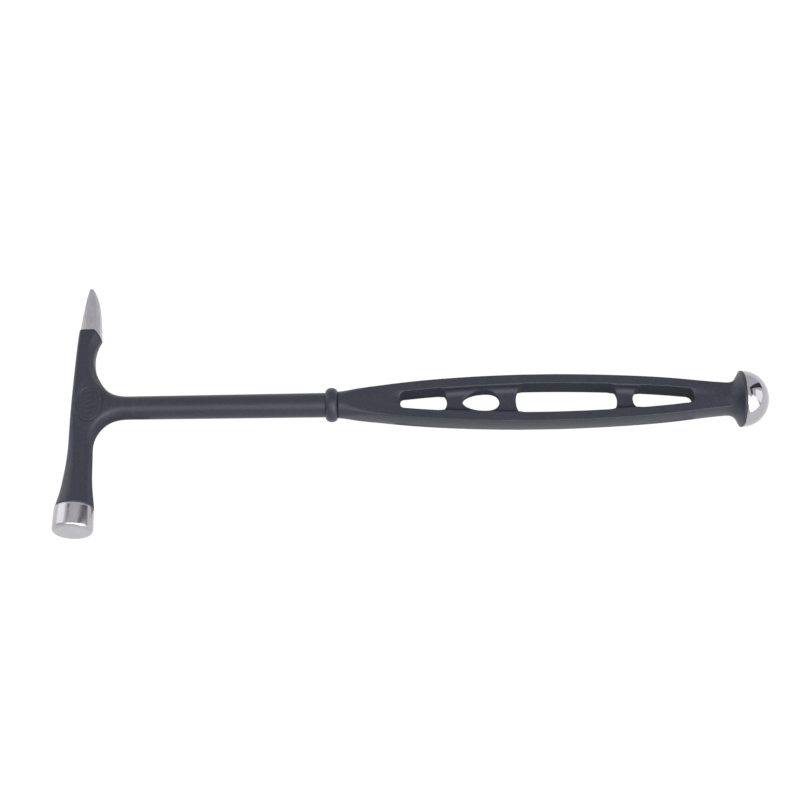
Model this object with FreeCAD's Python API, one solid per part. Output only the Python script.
import FreeCAD, Part
import math
import os

# Rock hammer, lying on its side.
# While a piece is being made, x = 0 is the axis through the pick tip and the striking face,
# and y = 0, z = 0 is the axis of the shaft. +X runs from the head to the pommel, +Y towards
# the pick, +Z across the thin side of the grip. Every piece is moved to the frame's origin,
# the middle of the bounding box's lower face, when it is written out.

os.makedirs("parts", exist_ok=True)

# ---------------------------------------------------------------- driving sizes, in mm
# the head
PICK_REACH = 64.4            # shaft axis to the pick tip
FACE_REACH = 61.8            # shaft axis to the flat of the striking face
SHOULDER_Y = 35.8            # crisp shoulder where the ground point starts, inner side
COAT_END_Y = 39.5            # coat edge across the flat of the pick arm
COAT_BEND_X = 4.1            # where that edge leaves the flat and drops to the shoulder
COAT_EDGE_BULGE = (1.9, 1.8)  # how far its round part stands from the bend, along X and along Y
COAT_EDGE_PAST = (0.5, 1.0)  # it is cut past the shoulder by this much, so that it leaves the arm cleanly
FACE_SEAT_Y = 50.3           # where the coated arm ends and the striking face is seated
CHEEK_HALF = 6.4             # half thickness of the head at the eye
ARM_BACK = 3.9               # head axis to the flat outer side of the pick arm
WAIST_HALF = 4.4             # inner side of the pick arm at its waist
SHOULDER_HALF = 7.1          # inner side of the pick arm at the shoulder
POLL_HALF = 5.9              # half width of the round arm above the striking face
TIP_RADIUS = 1.0             # the pick tip is blunted to this radius
FACE_RADIUS = 9.2            # largest radius of the striking face
FACE_NECK_RADIUS = 9.0       # radius of the striking face where it meets the coat
FACE_FLAT_RADIUS = 8.2       # radius of its flat
FACE_EDGE = 2.4              # length of the rounded edge round the flat
BELL_RADIUS = 9.1            # coated bell that the striking face is seated in

# the badge on the cheek
BADGE_X = 4.0
BADGE_WIDTH = 13.0
BADGE_LENGTH = 18.6
BADGE_THICKNESS = 1.3
BADGE_STANDS = 0.5           # how far the badge stands above the cheek

# the shaft
SHAFT_FRONT_X = 24.0         # end of the socket flare
SHAFT_REAR_X = 113.7         # front of the collar ring
SHAFT_FRONT_RADIUS = 5.45
SHAFT_REAR_RADIUS = 5.75
SPIGOT_RADIUS = 4.0          # turned-down ends that enter the head and the grip
HEAD_SPIGOT_PAST_AXIS = 1.0  # the front spigot ends this far beyond the head axis
GRIP_SPIGOT_LENGTH = 18.0    # length of the rear spigot inside the grip

# the socket flare between head and shaft
FLARE_REACH_Y = 15.5         # half width of the flare where it dies into the arms
FLARE_START_X = 4.5

# the collar ring
COLLAR_WIDTH = 5.7
COLLAR_RADIUS = 8.05

# the grip
GRIP_LENGTH = 188.6          # collar ring to the rim of the pommel
GRIP_HALF_THICKNESS = 5.6
GRIP_START_RADIUS = 6.15     # round front end
GRIP_BELLY_HALF = 12.55      # half width at the belly
GRIP_NECK_HALF = 6.65        # half width just before the pommel
GRIP_CROWN = 0.7             # bulge of the outer faces across the thickness
GRIP_WALL = 5.3              # rail left outside the windows
RIB_RECESS = 4.0             # each side of a rib lies this far under the rails
RIB_FLOOR_SHARE = 0.52       # flat part of the recess floor, as a share of the gap between the rails
POMMEL_RADIUS = 13.2
POMMEL_RIM = 1.0             # width of the cylindrical rim
FLARE_LENGTH = 9.0           # length of the trumpet flare before the rim
DOME_HEIGHT = 12.4

# hidden fasteners
TANG_RADIUS = 2.5            # brazed tang of the pick point
TANG_DEPTH = 14.0
FACE_SPIGOT_RADIUS = 4.0
FACE_SPIGOT_LENGTH = 14.0
PIN_RADIUS = 1.5
PIN_COVER = 1.6              # metal left over the blind end of a cross pin
STUD_RADIUS = 3.0
STUD_IN_GRIP = 12.0
STUD_IN_DOME = 7.0

# Windows of the grip: position along the grip as a share of its length, measured from the
# collar, then the bulge of the front and rear ends and the corner radius.
WINDOWS = (
    ("front", 0.154, 0.270, 1.4, 2.4, 1.6),
    ("long", 0.440, 0.691, 2.0, 2.2, 2.0),
    ("rear", 0.729, 0.875, 2.6, 2.4, 1.2),
)
# The egg-shaped window between the first two of them, fuller towards the pommel.
EGG_MIDDLE = 0.354           # as a share of the grip length
EGG_REACH = 0.0467           # half its length, as a share of the grip length
EGG_SHARE = 0.76             # its half width as a share of the half gap between the rails
EGG_FULLER = 0.21            # how much wider the pommel end is than the middle
RECESS_SPAN = (0.115, 0.937)  # the recess between the rails, from where to where
RECESS_RAMP = (0.045, 0.050)  # and the ramps in which it runs out at its two ends

# ---------------------------------------------------------------- derived places
GRIP_X = SHAFT_REAR_X + COLLAR_WIDTH
RIM_X = GRIP_X + GRIP_LENGTH
APEX_X = RIM_X + DOME_HEIGHT
SHIFT = FreeCAD.Vector(
    -(APEX_X - FACE_RADIUS) / 2,
    -(PICK_REACH - FACE_REACH) / 2,
    POMMEL_RADIUS,
)
PIN_HEAD_X = BADGE_X
PIN_GRIP_X = GRIP_X + GRIP_SPIGOT_LENGTH / 2
TANG_X = (SHOULDER_HALF - ARM_BACK) / 2
BADGE_SEAT_Z = CHEEK_HALF + BADGE_STANDS - BADGE_THICKNESS
ALONG_X = FreeCAD.Vector(1, 0, 0)
ALONG_Y = FreeCAD.Vector(0, 1, 0)
ALONG_Z = FreeCAD.Vector(0, 0, 1)


def point(x, y, z=0.0):
    return FreeCAD.Vector(x, y, z)


def closed_curve(points):
    curve = Part.BSplineCurve()
    curve.interpolate(Points=points, PeriodicFlag=True)
    return Part.Wire([curve.toShape()])


def open_curve(points):
    curve = Part.BSplineCurve()
    curve.interpolate(Points=points)
    return curve.toShape()


def line(a, b):
    return Part.LineSegment(a, b).toShape()


def arc(a, middle, b):
    return Part.Arc(a, middle, b).toShape()


def prism(edges, z_low, z_high):
    wire = Part.Wire(edges)
    wire.translate(point(0, 0, z_low))
    return Part.Face(wire).extrude(point(0, 0, z_high - z_low))


def turned(edges, start, axis):
    return Part.Face(Part.Wire(edges)).revolve(start, axis, 360)


def rod(radius, start, axis, length):
    return Part.makeCylinder(radius, length, start, axis)


def superellipse(half_a, half_b, power, count=16):
    """Corner-rounded oval as (a, b) pairs: power 2 is an ellipse, more is boxier."""
    pairs = []
    for step in range(count):
        turn = 2 * math.pi * step / count
        ca = math.cos(turn)
        sa = math.sin(turn)
        a = math.copysign(abs(ca) ** (2 / power), ca) * half_a
        b = math.copysign(abs(sa) ** (2 / power), sa) * half_b
        pairs.append((a, b))
    return pairs


def arm_section(y, x_low, x_high, half_z, power):
    """One section of a head arm, square to Y."""
    middle = (x_low + x_high) / 2
    half_x = (x_high - x_low) / 2
    return closed_curve([point(middle + a, y, b) for a, b in superellipse(half_x, half_z, power)])


def loft(wires):
    return Part.makeLoft(wires, True, False)


# ---------------------------------------------------------------- the head
def poll_arm():
    """Coated lower arm, from the shoulder through the eye to the bell."""
    bell_start = FACE_SEAT_Y - 22
    # y, then the outer side, the inner side, the half thickness and the squareness of the section
    stations = (
        (-FACE_SEAT_Y, -BELL_RADIUS, BELL_RADIUS, BELL_RADIUS, 2.0),
        (-FACE_SEAT_Y + 2.2, -BELL_RADIUS + 0.8, BELL_RADIUS - 0.3, BELL_RADIUS - 0.4, 2.0),
        (-FACE_SEAT_Y + 6.4, -BELL_RADIUS + 1.9, BELL_RADIUS - 1.1, BELL_RADIUS - 1.3, 2.1),
        (-FACE_SEAT_Y + 12.0, -BELL_RADIUS + 2.9, POLL_HALF + 1.3, POLL_HALF + 1.0, 2.2),
        (-bell_start, -POLL_HALF + 0.9, POLL_HALF + 0.7, POLL_HALF + 0.3, 2.4),
        (-16.0, -ARM_BACK - 0.6, POLL_HALF - 0.3, POLL_HALF + 0.2, 2.6),
        (0.0, -ARM_BACK - 0.4, WAIST_HALF + 3.0, CHEEK_HALF, 3.0),
        (14.0, -ARM_BACK - 0.1, WAIST_HALF + 1.7, POLL_HALF + 0.2, 2.9),
        (23.4, -ARM_BACK + 0.1, WAIST_HALF, POLL_HALF, 2.8),
        (30.4, -ARM_BACK + 0.2, WAIST_HALF + 0.75, POLL_HALF, 2.8),
        (SHOULDER_Y, -ARM_BACK + 0.45, SHOULDER_HALF, POLL_HALF, 2.8),
    )
    return loft([arm_section(*station) for station in stations])


def point_blank():
    """The tapering four-sided point, from the shoulder to the blunted tip."""
    length = PICK_REACH - SHOULDER_Y
    # share of the length, then the same four values as the lower arm
    stations = (
        (0.00, -ARM_BACK + 0.45, SHOULDER_HALF, POLL_HALF, 2.8),
        (0.27, -ARM_BACK + 1.05, SHOULDER_HALF - 0.85, POLL_HALF - 0.60, 2.9),
        (0.56, -ARM_BACK + 1.85, SHOULDER_HALF - 1.75, POLL_HALF - 1.90, 2.9),
        (0.72, -ARM_BACK + 2.30, SHOULDER_HALF - 2.60, POLL_HALF - 2.90, 2.7),
        (0.86, -ARM_BACK + 2.75, SHOULDER_HALF - 4.15, POLL_HALF - 3.95, 2.4),
        (0.955, -ARM_BACK + 3.15, SHOULDER_HALF - 5.40, POLL_HALF - 4.70, 2.2),
        (1.00, -ARM_BACK + 3.80, SHOULDER_HALF - 6.40, TIP_RADIUS * 0.3, 2.0),
    )
    wires = []
    for share, x_low, x_high, half_z, power in stations:
        wires.append(arm_section(SHOULDER_Y + share * length, x_low, x_high, half_z, power))
    return loft(wires)


def coat_edge_block():
    """Everything on the pick side of the coat edge, as one thick block."""
    far = PICK_REACH + 5
    wide = 3 * SHOULDER_HALF
    corner = point(COAT_BEND_X, COAT_END_Y)
    past = point(SHOULDER_HALF + COAT_EDGE_PAST[0], SHOULDER_Y - COAT_EDGE_PAST[1])
    bend = point(COAT_BEND_X + COAT_EDGE_BULGE[0], COAT_END_Y - COAT_EDGE_BULGE[1])
    edges = [
        line(point(-wide, COAT_END_Y), corner),
        arc(corner, bend, past),
        line(past, point(wide, past.y)),
        line(point(wide, past.y), point(wide, far)),
        line(point(wide, far), point(-wide, far)),
        line(point(-wide, far), point(-wide, COAT_END_Y)),
    ]
    return prism(edges, -wide, wide)


def socket_flare():
    """Flattened trumpet that carries the arms into the round shaft."""
    reach = SHAFT_FRONT_X - FLARE_START_X
    # share of the reach, then the half width and the half thickness
    stations = (
        (0.00, FLARE_REACH_Y, CHEEK_HALF - 0.6),
        (0.20, FLARE_REACH_Y * 0.70, CHEEK_HALF - 0.1),
        (0.40, FLARE_REACH_Y * 0.48, CHEEK_HALF - 0.2),
        (0.66, SHAFT_FRONT_RADIUS + 0.45, SHAFT_FRONT_RADIUS + 0.35),
        (0.85, SHAFT_FRONT_RADIUS + 0.10, SHAFT_FRONT_RADIUS + 0.08),
        (1.00, SHAFT_FRONT_RADIUS, SHAFT_FRONT_RADIUS),
    )
    wires = []
    for share, half_y, half_z in stations:
        x = FLARE_START_X + share * reach
        wires.append(closed_curve([point(x, a, b) for a, b in superellipse(half_y, half_z, 2.0)]))
    return loft(wires)


def badge_blank(z_low, z_high):
    half_x = BADGE_WIDTH / 2
    half_y = BADGE_LENGTH / 2
    ring = closed_curve([point(BADGE_X + a, b, z_low) for a, b in superellipse(half_x, half_y, 2.0)])
    return Part.Face(ring).extrude(point(0, 0, z_high - z_low))


def tang():
    low = COAT_END_Y - TANG_DEPTH
    return rod(TANG_RADIUS, point(TANG_X, low), ALONG_Y, TANG_DEPTH)


def head_pin():
    low = -CHEEK_HALF + PIN_COVER
    return rod(PIN_RADIUS, point(PIN_HEAD_X, 0, low), ALONG_Z, BADGE_SEAT_Z - low)


def front_spigot():
    return rod(
        SPIGOT_RADIUS,
        point(-HEAD_SPIGOT_PAST_AXIS, 0),
        ALONG_X,
        SHAFT_FRONT_X + HEAD_SPIGOT_PAST_AXIS,
    )


def face_spigot():
    return rod(
        FACE_SPIGOT_RADIUS,
        point(0, -FACE_SEAT_Y),
        ALONG_Y,
        FACE_SPIGOT_LENGTH,
    )


def make_head_body():
    upper = point_blank().cut(coat_edge_block())
    body = poll_arm().fuse(upper).fuse(socket_flare())
    body = body.cut(badge_blank(BADGE_SEAT_Z, CHEEK_HALF + 3 * BADGE_STANDS))
    for core in (tang(), head_pin(), front_spigot(), face_spigot()):
        body = body.cut(core)
    return body


def make_pick_point():
    return point_blank().common(coat_edge_block()).fuse(tang())


def make_striking_face():
    seat = -FACE_SEAT_Y
    flat = -FACE_REACH
    edge = flat + FACE_EDGE
    over = FACE_RADIUS - FACE_FLAT_RADIUS
    edges = [
        line(point(0, seat), point(FACE_NECK_RADIUS, seat)),
        line(point(FACE_NECK_RADIUS, seat), point(FACE_RADIUS, edge)),
        arc(
            point(FACE_RADIUS, edge),
            point(FACE_RADIUS - over * 0.30, edge - FACE_EDGE * 0.72),
            point(FACE_FLAT_RADIUS, flat),
        ),
        line(point(FACE_FLAT_RADIUS, flat), point(0, flat)),
        line(point(0, flat), point(0, seat)),
    ]
    return turned(edges, point(0, 0), ALONG_Y).fuse(face_spigot())


def make_head_badge():
    return badge_blank(BADGE_SEAT_Z, BADGE_SEAT_Z + BADGE_THICKNESS)


# ---------------------------------------------------------------- the shaft
def rear_spigot():
    length = COLLAR_WIDTH + GRIP_SPIGOT_LENGTH
    return rod(SPIGOT_RADIUS, point(SHAFT_REAR_X, 0), ALONG_X, length)


def make_shaft():
    edges = [
        line(point(SHAFT_FRONT_X, 0), point(SHAFT_FRONT_X, SHAFT_FRONT_RADIUS)),
        line(
            point(SHAFT_FRONT_X, SHAFT_FRONT_RADIUS),
            point(SHAFT_REAR_X, SHAFT_REAR_RADIUS),
        ),
        line(point(SHAFT_REAR_X, SHAFT_REAR_RADIUS), point(SHAFT_REAR_X, 0)),
        line(point(SHAFT_REAR_X, 0), point(SHAFT_FRONT_X, 0)),
    ]
    bar = turned(edges, point(0, 0), ALONG_X)
    bar = bar.fuse(front_spigot()).fuse(rear_spigot())
    return bar.cut(head_pin()).cut(grip_pin())


def make_collar_ring():
    root = SHAFT_REAR_RADIUS
    middle = SHAFT_REAR_X + COLLAR_WIDTH / 2
    half = COLLAR_WIDTH / 2
    bead = []
    for step in range(9):
        turn = math.pi * step / 8
        x = middle - half * math.cos(turn)
        bead.append(point(x, root + (COLLAR_RADIUS - root) * math.sin(turn)))
    edges = [
        line(point(SHAFT_REAR_X, SPIGOT_RADIUS), bead[0]),
        open_curve(bead),
        line(bead[-1], point(GRIP_X, SPIGOT_RADIUS)),
        line(point(GRIP_X, SPIGOT_RADIUS), point(SHAFT_REAR_X, SPIGOT_RADIUS)),
    ]
    return turned(edges, point(0, 0), ALONG_X)


# ---------------------------------------------------------------- the grip
def bezier(a, b, c, d, share):
    rest = 1 - share
    return a * rest**3 + 3 * b * rest**2 * share + 3 * c * rest * share**2 + d * share**3


def grip_outline(steps=10):
    """Half width along the grip: (x, half width) from the collar over the belly to the neck.

    Each half is one Bezier curve; its inner handles are given as shares of the half.
    """
    belly = 0.507 * GRIP_LENGTH
    neck = GRIP_LENGTH - FLARE_LENGTH
    rise = GRIP_BELLY_HALF - GRIP_START_RADIUS
    fall = GRIP_BELLY_HALF - GRIP_NECK_HALF
    front = []
    rear = []
    for step in range(steps + 1):
        share = step / steps
        x = bezier(0, 0.31 * belly, 0.62 * belly, belly, share)
        half = GRIP_START_RADIUS + bezier(0, 0.50 * rise, rise, rise, share)
        front.append((GRIP_X + x, half))
        x = belly + bezier(0, 0.30, 0.71, 1, share) * (neck - belly)
        half = GRIP_BELLY_HALF - bezier(0, 0, 0.45 * fall, fall, share)
        rear.append((GRIP_X + x, half))
    return front + rear[1:]


def half_width(x):
    """Half width of the grip at x, read off the outline."""
    outline = grip_outline()
    for (x0, w0), (x1, w1) in zip(outline, outline[1:]):
        if x <= x1:
            return w0 + (w1 - w0) * (x - x0) / (x1 - x0)
    return GRIP_NECK_HALF


def grip_section(x, half):
    """Barrel section: flat sides, gently crowned outer faces."""
    t = GRIP_HALF_THICKNESS
    edge = half - GRIP_CROWN
    edges = [
        line(point(x, -edge, t), point(x, edge, t)),
        arc(point(x, edge, t), point(x, half, 0), point(x, edge, -t)),
        line(point(x, edge, -t), point(x, -edge, -t)),
        arc(point(x, -edge, -t), point(x, -half, 0), point(x, -edge, t)),
    ]
    return Part.Wire(edges)


def grip_slab():
    outline = grip_outline()[::2]
    end_x = RIM_X - POMMEL_RIM
    wires = [grip_section(x, half) for x, half in outline]
    wires.append(grip_section(end_x, GRIP_NECK_HALF))
    return loft(wires)


def grip_root():
    """Round front end that dies into the flat sides."""
    end_x = GRIP_X + 1.25 * GRIP_SPIGOT_LENGTH
    end_radius = GRIP_HALF_THICKNESS - 0.2
    edges = [
        line(point(GRIP_X, 0), point(GRIP_X, GRIP_START_RADIUS)),
        line(point(GRIP_X, GRIP_START_RADIUS), point(end_x, end_radius)),
        line(point(end_x, end_radius), point(end_x, 0)),
        line(point(end_x, 0), point(GRIP_X, 0)),
    ]
    return turned(edges, point(0, 0), ALONG_X)


def pommel_flare():
    """Trumpet flare and rim that carry the dome."""
    start = RIM_X - POMMEL_RIM - FLARE_LENGTH
    rim = RIM_X - POMMEL_RIM
    start_radius = GRIP_HALF_THICKNESS
    depth = POMMEL_RADIUS - start_radius
    edges = [
        line(point(start, 0), point(start, start_radius)),
        arc(
            point(start, start_radius),
            point(start + FLARE_LENGTH * 0.74, start_radius + depth * 0.33),
            point(rim, POMMEL_RADIUS),
        ),
        line(point(rim, POMMEL_RADIUS), point(RIM_X, POMMEL_RADIUS)),
        line(point(RIM_X, POMMEL_RADIUS), point(RIM_X, 0)),
        line(point(RIM_X, 0), point(start, 0)),
    ]
    return turned(edges, point(0, 0), ALONG_X)


def inner_half(x):
    return half_width(x) - GRIP_WALL


def rail_curve(x0, x1, side, share=1.0, z=0.0):
    """A curve that runs with the inner side of one rail, at a share of its distance from the middle."""
    count = 5
    points = []
    for step in range(count):
        x = x0 + (x1 - x0) * step / (count - 1)
        points.append(point(x, side * share * inner_half(x), z))
    return open_curve(points)


def window_prism(x0, x1, bulge0, bulge1, corner):
    a = x0 + bulge0
    b = x1 - bulge1
    z = GRIP_HALF_THICKNESS + 1
    upper = rail_curve(a, b, 1)
    lower = rail_curve(b, a, -1)
    ya = inner_half(a)
    yb = inner_half(b)
    edges = [
        upper,
        arc(point(b, yb), point(x1, 0), point(b, -yb)),
        lower,
        arc(point(a, -ya), point(x0, 0), point(a, ya)),
    ]
    block = prism(edges, -z, z)
    uprights = []
    for edge in block.Edges:
        ends = [vertex.Point for vertex in edge.Vertexes]
        if len(ends) == 2 and abs(ends[0].z - ends[1].z) > z:
            uprights.append(edge)
    return block.makeFillet(corner, uprights)


def egg_prism():
    middle = GRIP_X + EGG_MIDDLE * GRIP_LENGTH
    reach = EGG_REACH * GRIP_LENGTH
    half = EGG_SHARE * inner_half(middle)
    z = GRIP_HALF_THICKNESS + 1
    points = []
    for a, b in superellipse(1, 1, 2.0):
        points.append(point(middle + reach * a, half * b * (1 + EGG_FULLER * a), -z))
    return Part.Face(closed_curve(points)).extrude(point(0, 0, 2 * z))


def recess_wire(x0, x1, share, z):
    """Outline of the recess between the rails at one depth."""
    ya = inner_half(x0) * share
    yb = inner_half(x1) * share
    edges = [
        rail_curve(x0, x1, 1, share, z),
        line(point(x1, yb, z), point(x1, -yb, z)),
        rail_curve(x1, x0, -1, share, z),
        line(point(x0, -ya, z), point(x0, ya, z)),
    ]
    return Part.Wire(edges)


def recess(side):
    """Trough between the rails on one face, with sloping walls and ramped ends."""
    x0 = GRIP_X + RECESS_SPAN[0] * GRIP_LENGTH
    x1 = GRIP_X + RECESS_SPAN[1] * GRIP_LENGTH
    ramp0 = RECESS_RAMP[0] * GRIP_LENGTH
    ramp1 = RECESS_RAMP[1] * GRIP_LENGTH
    top = GRIP_HALF_THICKNESS
    floor = GRIP_HALF_THICKNESS - RIB_RECESS
    wires = [
        recess_wire(x0, x1, 1.0, side * top),
        recess_wire(x0 + ramp0, x1 - ramp1, RIB_FLOOR_SHARE, side * floor),
    ]
    return Part.makeLoft(wires, True, True)


def grip_pin():
    low = -GRIP_HALF_THICKNESS
    high = GRIP_HALF_THICKNESS - PIN_COVER
    return rod(PIN_RADIUS, point(PIN_GRIP_X, 0, low), ALONG_Z, high - low)


def pommel_stud():
    start = RIM_X - STUD_IN_GRIP
    return rod(STUD_RADIUS, point(start, 0), ALONG_X, STUD_IN_GRIP + STUD_IN_DOME)


def make_grip_frame():
    body = grip_slab().fuse(grip_root()).fuse(pommel_flare())
    body = body.cut(recess(1)).cut(recess(-1))
    for name, start, end, bulge0, bulge1, corner in WINDOWS:
        x0 = GRIP_X + start * GRIP_LENGTH
        x1 = GRIP_X + end * GRIP_LENGTH
        body = body.cut(window_prism(x0, x1, bulge0, bulge1, corner))
    body = body.cut(egg_prism())
    for core in (rear_spigot(), grip_pin(), pommel_stud()):
        body = body.cut(core)
    return body


def make_pommel_dome():
    top = point(APEX_X, 0)
    dome = []
    for step in range(9):
        turn = math.pi / 2 * step / 8
        dome.append(point(RIM_X + DOME_HEIGHT * math.sin(turn), POMMEL_RADIUS * math.cos(turn)))
    dome[-1] = top
    edges = [
        line(point(RIM_X, 0), dome[0]),
        open_curve(dome),
        line(top, point(RIM_X, 0)),
    ]
    return turned(edges, point(0, 0), ALONG_X).cut(pommel_stud())


PIECES = {
    "head_body": make_head_body,
    "pick_point": make_pick_point,
    "striking_face": make_striking_face,
    "head_badge": make_head_badge,
    "head_pin": head_pin,
    "shaft": make_shaft,
    "collar_ring": make_collar_ring,
    "grip_frame": make_grip_frame,
    "grip_pin": grip_pin,
    "pommel_stud": pommel_stud,
    "pommel_dome": make_pommel_dome,
}

for name, make in PIECES.items():
    shape = make().removeSplitter()
    shape.translate(SHIFT)
    shape.exportStep("parts/" + name + ".step")
    box = shape.BoundBox
    print(
        name,
        "solids", len(shape.Solids),
        "valid", shape.isValid(),
        "volume %.0f mm3" % shape.Volume,
        "x %.1f..%.1f" % (box.XMin, box.XMax),
        "y %.1f..%.1f" % (box.YMin, box.YMax),
        "z %.1f..%.1f" % (box.ZMin, box.ZMax),
    )
